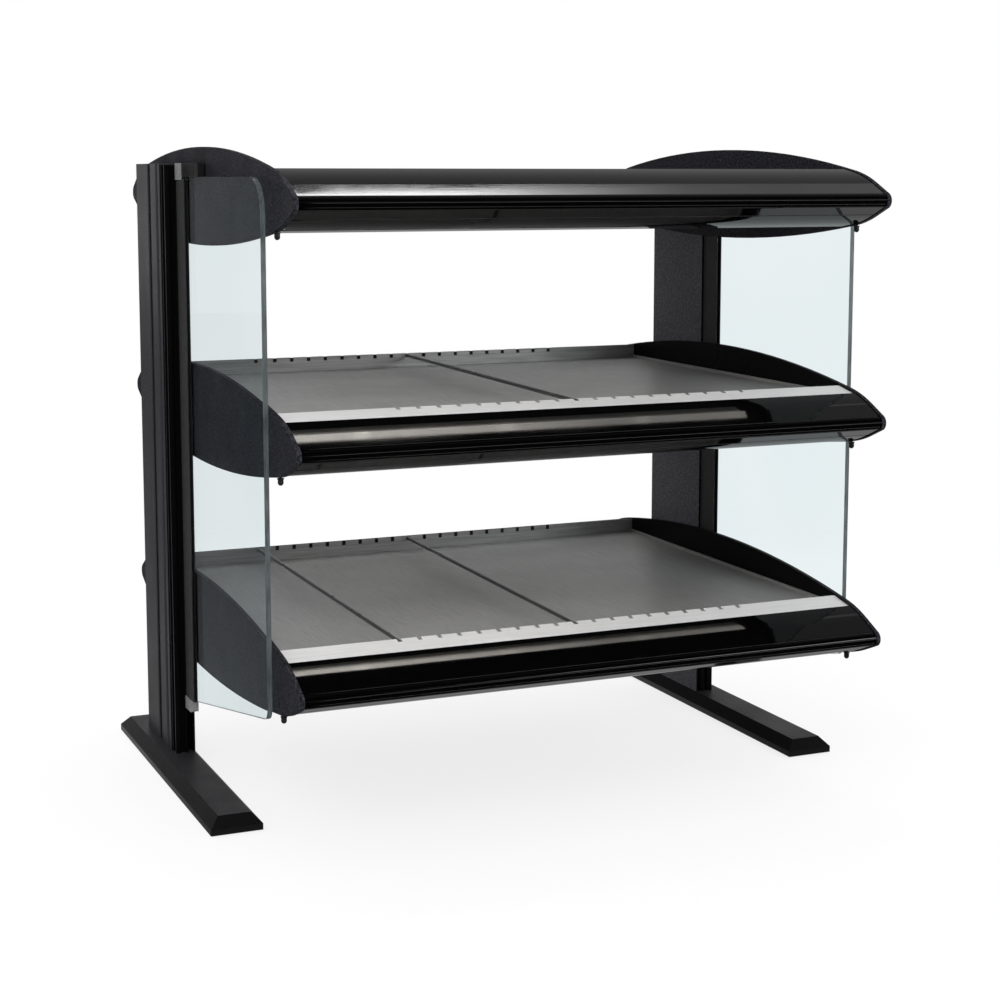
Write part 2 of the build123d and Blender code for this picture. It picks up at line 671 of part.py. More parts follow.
def switch_housing(x):
    """Open-fronted switch body: frame on the panel, two ears for the pivot."""
    half_x, half_z = SWITCH_OPENING[0] / 2, SWITCH_OPENING[1] / 2
    wall_x, wall_z = half_x + SWITCH_WALL, half_z + SWITCH_WALL
    frame_x, frame_z = SWITCH_FRAME[0] / 2, SWITCH_FRAME[1] / 2
    tab_width, tab_length, tab_thick = TAB_SIZE
    face = REAR_PANEL_Y
    body = block(
        (x - frame_x, x + frame_x),
        (face, face + SWITCH_FRAME_THICK),
        (SWITCH_Z - frame_z, SWITCH_Z + frame_z),
    )
    body += block(
        (x - wall_x, x + wall_x),
        (face - SWITCH_DEPTH, face + 1),
        (SWITCH_Z - wall_z, SWITCH_Z + wall_z),
    )
    body -= block(
        (x - half_x, x + half_x),
        (face - SWITCH_POCKET, face + 4),
        (SWITCH_Z - half_z, SWITCH_Z + half_z),
    )
    ear = half_x + PIVOT_EAR
    body -= rod_x(PIVOT_RADIUS + RUNNING_GAP, (x - ear, x + ear), face - PIVOT_IN, SWITCH_Z)
    for level in (-1, 0, 1):
        tab_z = SWITCH_Z + level * TAB_OFFSET
        body += block(
            (x - tab_thick / 2, x + tab_thick / 2),
            (face - SWITCH_DEPTH - tab_length, face - SWITCH_DEPTH + 1),
            (tab_z - tab_width / 2, tab_z + tab_width / 2),
        )
    return body


def rocker(x):
    """Paddle at rest with its lower half pressed in."""
    half_x = SWITCH_OPENING[0] / 2 - ROCKER_INSET[0]
    half_z = SWITCH_OPENING[1] / 2 - ROCKER_INSET[1]
    pivot_half = half_x + PIVOT_PROUD
    outline = [
        (ROCKER_BACK, -half_z * ROCKER_BACK_SHARE),
        (ROCKER_BACK, half_z * ROCKER_BACK_SHARE),
        (ROCKER_SHOULDER, half_z),
        (ROCKER_FRONT, half_z),
        (ROCKER_WAIST, 0.0),
        (ROCKER_FRONT, -half_z),
        (ROCKER_SHOULDER, -half_z),
    ]
    paddle = prism_x(outline, (-half_x, half_x))
    paddle += rod_x(PIVOT_RADIUS, (-pivot_half, pivot_half), 0, 0)
    return Pos(x, REAR_PANEL_Y - PIVOT_IN, SWITCH_Z) * Rot(-ROCKER_TILT, 0, 0) * paddle


def pilot_light():
    """Small domed lamp in the rear panel beside the knob."""
    rim_radius, rim_thick = PILOT_RIM
    face = REAR_PANEL_Y
    lens = rod_y(PILOT_RADIUS, PILOT_X, (face - PILOT_DEPTH, face + rim_thick), KNOB_Z)
    rim = rod_y(rim_radius, PILOT_X, (face, face + rim_thick), KNOB_Z)
    dome = Pos(PILOT_X, face + rim_thick / 2, KNOB_Z) * Sphere(PILOT_RADIUS)
    return lens + rim + dome


def inlet_block(size, y):
    """A block across the inlet's middle, of a width and height in X and Z."""
    half_x, half_z = size[0] / 2, size[1] / 2
    return block((INLET_X - half_x, INLET_X + half_x), y, (INLET_Z - half_z, INLET_Z + half_z))


def power_inlet():
    """Flanged appliance inlet: a deep socket with three blades."""
    face = REAR_PANEL_Y
    front = face + INLET_FLANGE[2]
    floor = face - INLET_MOUTH[2]
    body = inlet_block(INLET_BODY, (face - INLET_BODY[2], face + 1))
    body += inlet_block(INLET_FLANGE, (face, front))
    body -= inlet_block(INLET_MOUTH, (floor, front + 1))
    half_x, half_z = BLADE_SIZE[0] / 2, BLADE_SIZE[1] / 2
    for dx, dz in BLADE_PLACES:
        x, z = INLET_X + dx, INLET_Z + dz
        body += block((x - half_x, x + half_x), (floor - 1, face - BLADE_TIP), (z - half_z, z + half_z))
    for side in (-1, 1):
        x = INLET_X + side * INLET_SCREW_OFFSET
        body += rod_y(2 * PANEL_SCREW_RADIUS, x, (front - 1, front + INLET_SCREW_HEAD), INLET_Z)
        body += rod_y(PANEL_SCREW_RADIUS, x, (face - INLET_SCREW_END, front), INLET_Z)
    return body


def post_profile(z):
    """Right-hand post's outer form: ground face, ribs, grooves, glass channel."""
    inner = POST_X[0]
    column = block((inner, POST_GROUND_X), POST_Y, z)
    for rib in POST_RIBS:
        bar = block((POST_GROUND_X - 1, rib["outer_x"]), rib["y"], z)
        outer_edges = bar.edges().filter_by(Axis.Z).group_by(Axis.X)[-1]
        column += fillet(outer_edges, rib["edge_radius"])
    for groove in POST_GROOVES:
        column -= block((groove["floor_x"], POST_X[1] + 1), groove["y"], z)
    front = POST_Y[0]
    column -= block(POST_FRONT_GROOVE_X, (front - 1, front + POST_FRONT_GROOVE_DEPTH), z)
    return column - block(CHANNEL_X, (front - 1, front + CHANNEL_DEPTH), z)


def post():
    """Right-hand post: a fluted hollow extrusion with a port for each screw."""
    z = (FOOT_TOP, POST_TOP - POST_CAP_THICK)
    column = post_profile(z)
    for hollow in POST_HOLLOWS:
        column -= block(POST_HOLLOW_X, hollow, z)
    for y in PORT_ROWS:
        column += rod_z(PORT_RADIUS, PORT_X, y, z)
    for y in PORT_ROWS:
        column -= rod_z(SCREW_RADIUS, PORT_X, y, z)
    inner = POST_X[0]
    for top in (CANOPY_TOP, UPPER_TOP, LOWER_TOP):
        for y in CAP_BOLT_ROWS:
            column -= rod_x(CAP_BOLT_RADIUS, (inner - 1, inner + CAP_BOLT_HOLE), y, top + CAP_BOLT_Z)
    return column


def post_cap():
    """Plate that closes the top of the right-hand post."""
    return post_profile((POST_TOP - POST_CAP_THICK, POST_TOP))


def foot():
    """Right-hand foot: a long casting with straight sides and a tapered top."""
    half = FOOT_WIDTH / 2
    middle = (FOOT_Y[0] + FOOT_Y[1]) / 2
    length = FOOT_Y[1] - FOOT_Y[0]
    x = (FOOT_CENTRE_X - half, FOOT_CENTRE_X + half)
    base = block(x, FOOT_Y, (FOOT_BOTTOM, FOOT_SIDE_TOP))
    low = Pos(FOOT_CENTRE_X, middle, FOOT_SIDE_TOP) * Rectangle(FOOT_WIDTH, length)
    top_size = (FOOT_WIDTH - 2 * FOOT_TAPER, length - 2 * FOOT_TAPER)
    high = Pos(FOOT_CENTRE_X, middle, FOOT_TOP) * Rectangle(*top_size)
    casting = base + loft([low.face(), high.face()], ruled=True)
    casting = fillet(casting.edges().filter_by(Axis.Z), FOOT_CORNER_RADIUS)
    recess_x = (FOOT_CENTRE_X - FOOT_RECESS_HALF, FOOT_CENTRE_X + FOOT_RECESS_HALF)
    casting -= block(recess_x, FOOT_RECESS_Y, (FOOT_BOTTOM - 1, FOOT_RECESS_TOP))
    for y in PORT_ROWS:
        casting -= rod_z(SCREW_RADIUS + CLEARANCE, PORT_X, y, (FOOT_RECESS_TOP - 1, FOOT_TOP + 1))
    for x, y in pad_places():
        casting -= rod_z(PAD_RADIUS, x, y, (FOOT_BOTTOM - 1, PAD_THICK))
    return casting


def pad_places():
    return [(FOOT_CENTRE_X + dx, y) for dx in (-PAD_OFFSET, PAD_OFFSET) for y in PAD_ROWS]


def foot_pad(x, y):
    pad = rod_z(PAD_RADIUS, x, y, (0, PAD_THICK))
    return chamfer(pad.edges().group_by(Axis.Z)[0], PAD_CHAMFER)


def foot_screw(y):
    """Screw up through the foot into a port of the post."""
    head_radius, head_height = FOOT_SCREW_HEAD
    head_low = FOOT_RECESS_TOP - head_height
    head = rod_z(head_radius, PORT_X, y, (head_low, FOOT_RECESS_TOP))
    shank = rod_z(SCREW_RADIUS, PORT_X, y, (FOOT_RECESS_TOP - 1, FOOT_SCREW_END))
    socket = Pos(PORT_X, y, head_low) * extrude(RegularPolygon(head_radius / 2, 6), amount=HEX_DEPTH)
    return head + shank - socket


def glass():
    """Right-hand glass panel, rounded at its two front corners."""
    corners = [
        (GLASS_REAR_Y, GLASS_TOP),
        (GLASS_FRONT_Y, GLASS_TOP),
        (GLASS_FRONT_Y, GLASS_FRONT_BOTTOM),
        (GLASS_REAR_Y, GLASS_REAR_BOTTOM),
    ]
    face = make_face(Polyline(*corners, close=True))
    face = round_corner(face, corners[1], GLASS_TOP_RADIUS)
    face = round_corner(face, corners[2], GLASS_BOTTOM_RADIUS)
    pane = extrude(Plane.YZ * face, amount=GLASS_THICK)
    return pane.moved(Location((GLASS_X - GLASS_THICK / 2, 0, 0)))


def glass_gasket():
    """Rubber channel that grips the glass in the post, with a strip between the clamps."""
    front = POST_Y[0] - GASKET_PROUD
    rear = POST_Y[0] + CHANNEL_DEPTH
    gasket = block(CHANNEL_X, (front, rear), (GLASS_REAR_BOTTOM - GASKET_FOOT, GLASS_TOP))
    lower_clamp, upper_clamp = CLAMP_HEIGHTS
    strip_z = (lower_clamp[1], upper_clamp[0])
    gasket += block(CHANNEL_X, (GASKET_STRIP_FRONT_Y, front), strip_z)
    return gasket - glass()


def glass_clamps():
    """Right-hand pair of clamps that hold the glass's rear corners to the post."""
    filling = glass() + glass_gasket()
    return [block(CLAMP_X, (CLAMP_FRONT_Y, POST_Y[0]), z) - filling for z in CLAMP_HEIGHTS]


def glass_clip():
    """Grooved bar on the glass's top edge, in front of the upper clamp."""
    bar = block(CLIP_X, (CLIP_FRONT_Y, CLAMP_FRONT_Y), (GLASS_TOP, CLIP_TOP))
    z = (GLASS_TOP - 1, CLIP_TOP + 1)
    inner, outer = CLIP_X
    for setback in CLIP_GROOVES:
        y = (CLIP_FRONT_Y + setback, CLIP_FRONT_Y + setback + CLIP_GROOVE_WIDTH)
        bar -= block((inner - 1, inner + CLIP_GROOVE_DEPTH), y, z)
        bar -= block((outer - CLIP_GROOVE_DEPTH, outer + 1), y, z)
    return bar


def both_sides(solids):
    """Solids of the right-hand side, and their mirror images."""
    return list(solids) + [mirrored(s) for s in solids]


def at_tier(solid, top):
    return solid.moved(Location((0, 0, top)))


def save(name, solids):
    """Write one sub-part, which may be a group of separate solids."""
    if not isinstance(solids, (list, tuple)):
        solids = [solids]
    pieces = []
    for solid in solids:
        pieces.extend(solid.solids())
    shape = pieces[0] if len(pieces) == 1 else Compound(children=pieces)
    export_step(shape, "parts/" + name + ".step")


def save_pair(name, solid):
    save("right_" + name, solid)
    save("left_" + name, mirrored(solid))


def save_structure():
    save_pair("foot", foot())
    save_pair("post", post())
    save("post_caps", both_sides([post_cap()]))
    save("foot_pads", both_sides([foot_pad(x, y) for x, y in pad_places()]))
    save("foot_screws", both_sides([foot_screw(y) for y in PORT_ROWS]))
    save_pair("glass", glass())
    save("glass_gaskets", both_sides([glass_gasket()]))
    save("glass_clamps", both_sides(glass_clamps()))
    save("glass_clips", both_sides([glass_clip()]))


def save_caps_and_fascias():
    tiers = {"canopy": CANOPY_TOP, "upper": UPPER_TOP, "lower": LOWER_TOP}
    cap = end_cap()
    canopy_nose = front_fascia(CANOPY_WEB_Y, CANOPY_WEB_Y)
    shelf_nose = front_fascia(SHELF_WEB_Y, COVER_FRONT_Y)
    bolts = []
    screws = []
    for tier, top in tiers.items():
        placed = at_tier(cap, top)
        save(tier + "_right_end_cap", placed)
        save(tier + "_left_end_cap", mirrored(placed))
        nose = canopy_nose if tier == "canopy" else shelf_nose
        save(tier + "_front_fascia", at_tier(nose, top))
        bolts += [at_tier(bolt, top) for bolt in cap_bolts()]
        screws.append(at_tier(acorn_screw(), top))
    save("end_cap_bolts", both_sides(bolts))
    save("acorn_screws", both_sides(screws))


def save_shelves():
    tray = pan()
    for tier, top in (("upper", UPPER_TOP), ("lower", LOWER_TOP)):
        save(tier + "_pan", at_tier(tray, top))
        save(tier + "_heating_mat", at_tier(heating_mat(), top))
        save(tier + "_insulation", at_tier(insulation_board(), top))
    save("lower_bottom_cover", at_tier(bottom_cover(COVER_FRONT_Y), LOWER_TOP))
    save("upper_divider_rod", at_tier(divider_rod(0), UPPER_TOP))
    save("lower_centre_divider_rod", at_tier(divider_rod(0), LOWER_TOP))
    save("lower_left_divider_rod", at_tier(divider_rod(-NOTCH_LAST), LOWER_TOP))


def save_overhead_heat():
    save("canopy_top_cover", at_tier(canopy_top_cover(), CANOPY_TOP))
    save("canopy_heater_cover", at_tier(heater_cover(CANOPY_WEB_Y), CANOPY_TOP))
    save("upper_heater_cover", at_tier(heater_cover(COVER_FRONT_Y), UPPER_TOP))
    holders = []
    lamps = []
    for tier, top in (("canopy", CANOPY_TOP), ("upper", UPPER_TOP)):
        save(tier + "_reflector", at_tier(reflector(), top))
        save(tier + "_heater_element", at_tier(heater_element(), top))
        save(tier + "_element_guard", [at_tier(wire, top) for wire in element_guard()])
        save(tier + "_lamp_lens", at_tier(lamp_lens(), top))
        holders += [at_tier(lamp_holder(x), top) for x in lamp_places()]
        lamps += [at_tier(lamp(x), top) for x in lamp_places()]
    save("lamp_holders", holders)
    save("display_lamps", lamps)


def save_controls():
    save("canopy_rear_panel", at_tier(canopy_rear_panel(), CANOPY_TOP))
    save("upper_rear_panel", at_tier(shelf_rear_panel(), UPPER_TOP))
    save("lower_rear_panel", at_tier(lower_rear_panel(), LOWER_TOP))
    for tier, top in (("upper", UPPER_TOP), ("lower", LOWER_TOP)):
        save(tier + "_thermostat", at_tier(thermostat_body(), top))
        save(tier + "_thermostat_shaft", at_tier(thermostat_shaft(), top))
        save(tier + "_thermostat_knob", at_tier(thermostat_knob(), top))
    save("switch_housings", [at_tier(switch_housing(x), CANOPY_TOP) for x in SWITCH_X])
    save("heat_switch_rocker", at_tier(rocker(SWITCH_X[0]), CANOPY_TOP))
    save("light_switch_rocker", at_tier(rocker(SWITCH_X[1]), CANOPY_TOP))
    save("pilot_lights", [at_tier(pilot_light(), top) for top in (UPPER_TOP, LOWER_TOP)])
    save("power_inlet", at_tier(power_inlet(), LOWER_TOP))


os.makedirs("parts", exist_ok=True)
save_structure()
save_caps_and_fascias()
save_shelves()
save_overhead_heat()
save_controls()
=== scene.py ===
import json
import math

import bmesh
import bpy
from mathutils import Matrix, Vector

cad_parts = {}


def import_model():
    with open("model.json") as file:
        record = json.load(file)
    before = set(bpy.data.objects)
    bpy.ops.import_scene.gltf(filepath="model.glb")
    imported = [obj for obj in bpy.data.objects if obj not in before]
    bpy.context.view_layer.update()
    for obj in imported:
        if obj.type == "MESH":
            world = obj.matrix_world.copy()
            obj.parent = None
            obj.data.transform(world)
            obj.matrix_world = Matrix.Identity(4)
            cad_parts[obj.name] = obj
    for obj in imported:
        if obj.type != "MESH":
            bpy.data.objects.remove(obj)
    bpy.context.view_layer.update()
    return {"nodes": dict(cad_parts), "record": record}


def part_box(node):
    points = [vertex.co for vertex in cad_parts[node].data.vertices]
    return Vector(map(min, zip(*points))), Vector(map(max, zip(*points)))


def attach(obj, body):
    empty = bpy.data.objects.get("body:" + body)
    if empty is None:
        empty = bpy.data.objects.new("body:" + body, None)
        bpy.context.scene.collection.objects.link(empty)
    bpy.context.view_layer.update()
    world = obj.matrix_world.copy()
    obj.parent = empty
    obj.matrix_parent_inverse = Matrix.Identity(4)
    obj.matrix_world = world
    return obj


# Looks of the heated merchandiser: finishes for every sub-part, the fine
# pieces that the solids leave out, a pale floor, soft light and the camera.
# Metres. X runs left to right, Y away from the customer, Z up.

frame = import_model()

# Camera, fitted to the photograph's straight edges
IMAGE_SIZE = 1000.0
SENSOR_WIDTH = 36.0
FOCAL_PIXELS = 1923.35
CAMERA_PLACE = (-1.0010, -2.35885, 0.7817)
CAMERA_YAW = 0.40495
CAMERA_PITCH = 0.12537
CAMERA_ROLL = 0.0003
CAMERA_SHIFT = (0.010, -0.080)

# Places that second finishes go by
PANEL_FACE_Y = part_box("canopy_rear_panel")[1].y
PAN_FRONT_Y = -0.2835
PAN_REAR_Y = 0.2845
FACE_TOLERANCE = 0.0005
RIB_HEIGHT = 0.0035
FACING = 0.5
SQUARE_ON = 0.95

# Inlet: three blades in its mouth, the middle one higher, and two screws
BLADE_SPACING = 0.007
BLADE_OFFSET = 0.002
BLADE_REACH = 0.0032
MOUTH_DEPTH = 0.0159
MOUTH_CLEARANCE = 0.0001
INLET_SCREW_HEAD = 0.0014

# Rear panel screws; the outline of a head is radius, then reach
SCREW_COLUMNS = (-0.345, -0.115, 0.115, 0.345)
SCREW_INSET = 0.008
SCREW_OUTLINE = [
    (0.0034, 0.0),
    (0.0034, 0.0006),
    (0.0031, 0.0013),
    (0.0024, 0.0018),
    (0.0014, 0.0020),
    (0.0011, 0.0012),
]
LATHE_STEPS = 24

# Louvres in the canopy's rear panel
LOUVRE_GROUPS = (-0.230, -0.060)
LOUVRE_COLUMNS = (-1, 0, 1)
LOUVRE_ROWS = (-1.5, -0.5, 0.5, 1.5)
LOUVRE_PITCH = (0.050, 0.011)
LOUVRE_HALF_WIDTH = 0.021
LOUVRE_HEIGHT = 0.0055
LOUVRE_REACH = 0.0026
LOUVRE_BULGE = 0.6
LOUVRE_BULGE_RISE = 0.2
LOUVRE_SHEET = 0.0006
LOUVRE_ROOT = 0.0002
LOUVRE_STEPS = 8

# Dial marks, knob pointers and rocker marks
DIAL_TICKS = 13
DIAL_START = 90.0
DIAL_SWEEP = -270.0
DIAL_RADIUS = 0.0195
TICK_LONG = 0.0045
TICK_SHORT = 0.0028
TICK_DEPTH = 0.0003
TICK_WIDTH = 0.0009
LONG_TICK_EVERY = 3
POINTER_SIZE = (0.0016, 0.0004, 0.0068)
POINTER_RISE = 0.0085
ROCKER_PIVOT_DEPTH = 0.003
ROCKER_REST_TILT = -10.0
ROCKER_SLOPE = math.atan2(0.0018, 0.0116)
ROCKER_MARK_REACH = 0.00612
ROCKER_MARK_RISE = 0.0058
STROKE_SIZE = (0.0009, 0.0003, 0.0044)
RING_RADIUS = 0.0018
RING_BIT = (0.0006, 0.0003, 0.0007)
RING_STEPS = 20

# Lamps and lenses: how far their glow reaches along X and Y
LENS_GLOW = 3.6
GLOW_COLOR = (1.0, 0.96, 0.90)
GLOW_ENDS = (-0.25, 0.15)
GLOW_FAR = 0.24
GLOW_DEPTH = (-0.222, -0.185)
GLOW_BASE = 0.02
LENS_RIB_PITCH = 0.004

# One cycle of a wave texture at scale 1 is this long
WAVE_CYCLE = 2 * math.pi / 20

# Floor, and the stretches over which gloss shows it dimmer
FLOOR_RADIUS = 9.0
FLOOR_SEGMENTS = 96
FLOOR_COLOR = 0.96
FLOOR_LIFT = 0.80
FADE = (0.8, 1.8)
FLOOR_IN_GLOSS = (0.01, 0.40)
FLOOR_GLOSS_DEPTH = (-0.4, 0.2)
FLOOR_GLOSS_SIDE = (-1.2, -0.2)

# World: its light, and what gloss shows of it in each direction
AMBIENT = 0.95
CEILING_LEVEL = 0.22
FRONT_LEVEL = 0.03
LEFT_LEVEL = 0.12
DOME_RISE = (0.05, 0.30)
DOME_DEPTH = (-0.5, 0.3)
DOME_SIDE = (-0.35, 0.05)

# Ceiling strip that only gloss shows, brightest to the left of its middle
STRIP_MIDDLE = (0.42, 1.05, 2.67)
STRIP_AIM = (0.0, -0.36, 0.77)
STRIP_REACH = (-0.50, 1.90)
STRIP_RUN = (1.0, -0.1085, -0.194)
STRIP_WIDTH = 0.075
STRIP_GLOW = 19.0
STRIP_FAR_GLOW = 0.55
STRIP_SPREAD = 0.42


def as_color(value):
    """A colour with its alpha, from one grey level or three channels."""
    if isinstance(value, (int, float)):
        return (value, value, value, 1.0)
    return (*value, 1.0)


def set_inputs(node, **values):
    for name, value in values.items():
        node.inputs[name.replace("_", " ")].default_value = value


def feed(tree, value, socket):
    """Sets a socket to a plain number, or links it to another socket."""
    if isinstance(value, (int, float)):
        socket.default_value = value
    else:
        tree.links.new(value, socket)


def fresh_tree(owner, output_type):
    """The owner's emptied node tree, with the surface socket of a new output."""
    owner.use_nodes = True
    tree = owner.node_tree
    tree.nodes.clear()
    output = tree.nodes.new(output_type)
    return tree, output.inputs["Surface"]


def node_material(name):
    """A new material that holds only a Principled shader, ready to be wired."""
    material = bpy.data.materials.new(name)
    tree, surface = fresh_tree(material, "ShaderNodeOutputMaterial")
    shader = tree.nodes.new("ShaderNodeBsdfPrincipled")
    tree.links.new(shader.outputs["BSDF"], surface)
    return material, tree, shader


def coordinates(tree, stretch=(1.0, 1.0, 1.0)):
    """Object coordinates in metres, stretched along each axis."""
    source = tree.nodes.new("ShaderNodeTexCoord")
    mapping = tree.nodes.new("ShaderNodeMapping")
    mapping.inputs["Scale"].default_value = stretch
    tree.links.new(source.outputs["Object"], mapping.inputs["Vector"])
    return mapping.outputs["Vector"]


def split(tree, vector):
    """The X, Y and Z outputs of a vector."""
    node = tree.nodes.new("ShaderNodeSeparateXYZ")
    tree.links.new(vector, node.inputs["Vector"])
    return node.outputs


def noise(tree, vector, scale, detail=3.0, roughness=0.6):
    node = tree.nodes.new("ShaderNodeTexNoise")
    set_inputs(node, Scale=scale, Detail=detail, Roughness=roughness)
    tree.links.new(vector, node.inputs["Vector"])
    return node.outputs["Fac"]


def ramp(tree, factor, low, high, start=0.35, end=0.65):
    """Two colours, or two grey levels, blended over part of the factor's range."""
    node = tree.nodes.new("ShaderNodeValToRGB")
    node.color_ramp.elements[0].position = start
    node.color_ramp.elements[1].position = end
    node.color_ramp.elements[0].color = as_color(low)
    node.color_ramp.elements[1].color = as_color(high)
    tree.links.new(factor, node.inputs["Fac"])
    return node.outputs["Color"]


def math_node(tree, operation, first, second):
    """A Math node whose two inputs are sockets or plain numbers."""
    node = tree.nodes.new("ShaderNodeMath")
    node.operation = operation
    feed(tree, first, node.inputs[0])
    feed(tree, second, node.inputs[1])
    return node.outputs["Value"]


def map_range(tree, value, source_range, target_range, smooth=False):
    node = tree.nodes.new("ShaderNodeMapRange")
    node.inputs["From Min"].default_value, node.inputs["From Max"].default_value = source_range
    node.inputs["To Min"].default_value, node.inputs["To Max"].default_value = target_range
    if smooth:
        node.interpolation_type = "SMOOTHSTEP"
    tree.links.new(value, node.inputs["Value"])
    return node.outputs["Result"]


def bump(tree, shader, height, strength, distance):
    node = tree.nodes.new("ShaderNodeBump")
    set_inputs(node, Strength=strength, Distance=distance)
    tree.links.new(height, node.inputs["Height"])
    tree.links.new(node.outputs["Normal"], shader.inputs["Normal"])


def emission(tree, strength):
    """White emission, with a plain or a linked strength."""
    node = tree.nodes.new("ShaderNodeEmission")
    node.inputs["Color"].default_value = as_color(1.0)
    feed(tree, strength, node.inputs["Strength"])
    return node.outputs["Emission"]


def background(tree, color, strength=1.0):
    node = tree.nodes.new("ShaderNodeBackground")
    node.inputs["Strength"].default_value = strength
    if isinstance(color, (int, float)):
        node.inputs["Color"].default_value = as_color(color)
    else:
        tree.links.new(color, node.inputs["Color"])
    return node.outputs["Background"]


def mix_shaders(tree, factor, first, second):
    node = tree.nodes.new("ShaderNodeMixShader")
    tree.links.new(factor, node.inputs["Fac"])
    tree.links.new(first, node.inputs[1])
    tree.links.new(second, node.inputs[2])
    return node.outputs["Shader"]


def seen(tree, rays):
    """1 for a ray straight from the camera, and for one that has just passed through glass."""
    return math_node(tree, "MAXIMUM", rays.outputs["Is Camera Ray"], rays.outputs["Is Transmission Ray"])


def mirrored(tree, rays):
    """1 for a ray that a glossy surface has reflected, also where it then passes through glass."""
    reflected = math_node(tree, "GREATER_THAN", rays.outputs["Glossy Depth"], 0.5)
    sharp = math_node(tree, "SUBTRACT", 1.0, rays.outputs["Is Diffuse Ray"])
    return math_node(tree, "MULTIPLY", reflected, sharp)


def mottled(
    name, low, high, scale, roughness, grain=None, stretch=(1, 1, 1), spread=(0.35, 0.65), **values
):
    """A finish whose colour and roughness wander a little.

    The optional grain is the bump's scale, strength and distance.
    """
    material, tree, shader = node_material(name)
    vector = coordinates(tree, stretch)
    tone = noise(tree, vector, scale)
    tree.links.new(ramp(tree, tone, low, high, *spread), shader.inputs["Base Color"])
    smudge = noise(tree, coordinates(tree), scale=9.0, detail=5.0)
    tree.links.new(ramp(tree, smudge, *roughness), shader.inputs["Roughness"])
    if grain:
        grain_scale, strength, distance = grain
        bump(tree, shader, noise(tree, vector, grain_scale, detail=2.0), strength, distance)
    set_inputs(shader, **values)
    return material


def textured_black(
    name="textured_black", low=(0.007, 0.007, 0.009), high=(0.044, 0.045, 0.056), gloss=0.06
):
    """Charcoal powder coat with a fine pale speckle and a pebbled surface."""
    return mottled(
        name,
        low=low,
        high=high,
        scale=360.0,
        spread=(0.42, 0.68),
        roughness=(0.42, 0.55),
        grain=(560.0, 0.45, 0.0004),
        Specular_IOR_Level=gloss,
    )


def smooth_black(name, level, roughness, gloss, stretch=(1, 1, 1)):
    """Plain black finish with faint draw lines along the stretched axis."""
    return mottled(
        name,
        low=(level * 0.84, level * 0.84, level * 0.92),
        high=(level, level, level * 1.12),
        scale=240.0,
        roughness=roughness,
        grain=(800.0, 0.05, 0.0001),
        stretch=stretch,
        Specular_IOR_Level=gloss,
    )


def painted_sheet(name, low, high, roughness, strength):
    """Black paint on sheet metal, with a faint orange peel of the given strength."""
    return mottled(
        name,
        low=low,
        high=high,
        scale=420.0,
        roughness=roughness,
        grain=(650.0, strength, 0.0002),
        Specular_IOR_Level=0.3,
    )


def brushed_metal(name, low, high, roughness, metallic, stretch):
    """Metal brushed along its stretched axis, with soft smudges."""
    material, tree, shader = node_material(name)
    vector = coordinates(tree, stretch)
    lines = noise(tree, vector, scale=420.0, detail=4.0)
    tree.links.new(ramp(tree, lines, low, high), shader.inputs["Base Color"])
    smudge = noise(tree, coordinates(tree), scale=14.0, detail=5.0)
    tree.links.new(ramp(tree, smudge, *roughness), shader.inputs["Roughness"])
    shader.inputs["Metallic"].default_value = metallic
    bump(tree, shader, lines, strength=0.06, distance=0.0001)
    return material


def bright_steel(name, stretch):
    """Plain turned or stamped steel."""
    return brushed_metal(name, 0.42, 0.55, roughness=(0.25, 0.35), metallic=1.0, stretch=stretch)


def clear_glass():
    """Toughened glass, faintly blue-green, with a slight waviness."""
    material, tree, shader = node_material("glass")
    wave = noise(tree, coordinates(tree), scale=3.0, detail=1.0)
    tint = ramp(tree, wave, (0.790, 0.865, 0.880), (0.830, 0.885, 0.895))
    tree.links.new(tint, shader.inputs["Base Color"])
    set_inputs(shader, Transmission_Weight=1.0, Roughness=0.0, IOR=1.07)
    bump(tree, shader, wave, strength=0.02, distance=0.001)
    return material


def glass_edge():
    """Ground and polished edge of the glass, where it looks dark and green."""
    material, tree, shader = node_material("glass_edge")
    grind = noise(tree, coordinates(tree, stretch=(1.0, 1.0, 0.1)), scale=400.0)
    tint = ramp(tree, grind, (0.060, 0.072, 0.075), (0.120, 0.140, 0.145))
    tree.links.new(tint, shader.inputs["Base Color"])
    set_inputs(shader, Roughness=0.28, Transmission_Weight=0.15)
    bump(tree, shader, grind, strength=0.1, distance=0.0001)
    return material


def frosted(name, color, roughness, rib_pitch=None):
    """Glowing frosted lamp glass or lens, which may have pressed ribs."""
    material, tree, shader = node_material(name)
    speckle = noise(tree, coordinates(tree), scale=350.0)
    dull = [channel * 0.96 for channel in color]
    tree.links.new(ramp(tree, speckle, dull, color), shader.inputs["Base Color"])
    set_inputs(shader, Transmission_Weight=0.6, Roughness=roughness, IOR=1.45)
    height = speckle
    if rib_pitch:
        ribs = tree.nodes.new("ShaderNodeTexWave")
        ribs.bands_direction = "X"
        set_inputs(ribs, Scale=WAVE_CYCLE / rib_pitch)
        tree.links.new(coordinates(tree), ribs.inputs["Vector"])
        height = ribs.outputs["Fac"]
    bump(tree, shader, height, strength=0.3, distance=0.0004)
    shader.inputs["Emission Color"].default_value = as_color(GLOW_COLOR)
    tree.links.new(lamp_glow(tree), shader.inputs["Emission Strength"])
    return material


def lamp_glow(tree):
    """Brightest round the lamps' tips, dimmer towards their bases and to the right."""
    place = split(tree, coordinates(tree))
    across = map_range(tree, place["X"], GLOW_ENDS, (LENS_GLOW, GLOW_FAR * LENS_GLOW))
    along = map_range(tree, place["Y"], GLOW_DEPTH, (1.0, GLOW_BASE), smooth=True)
    return math_node(tree, "MULTIPLY", across, along)


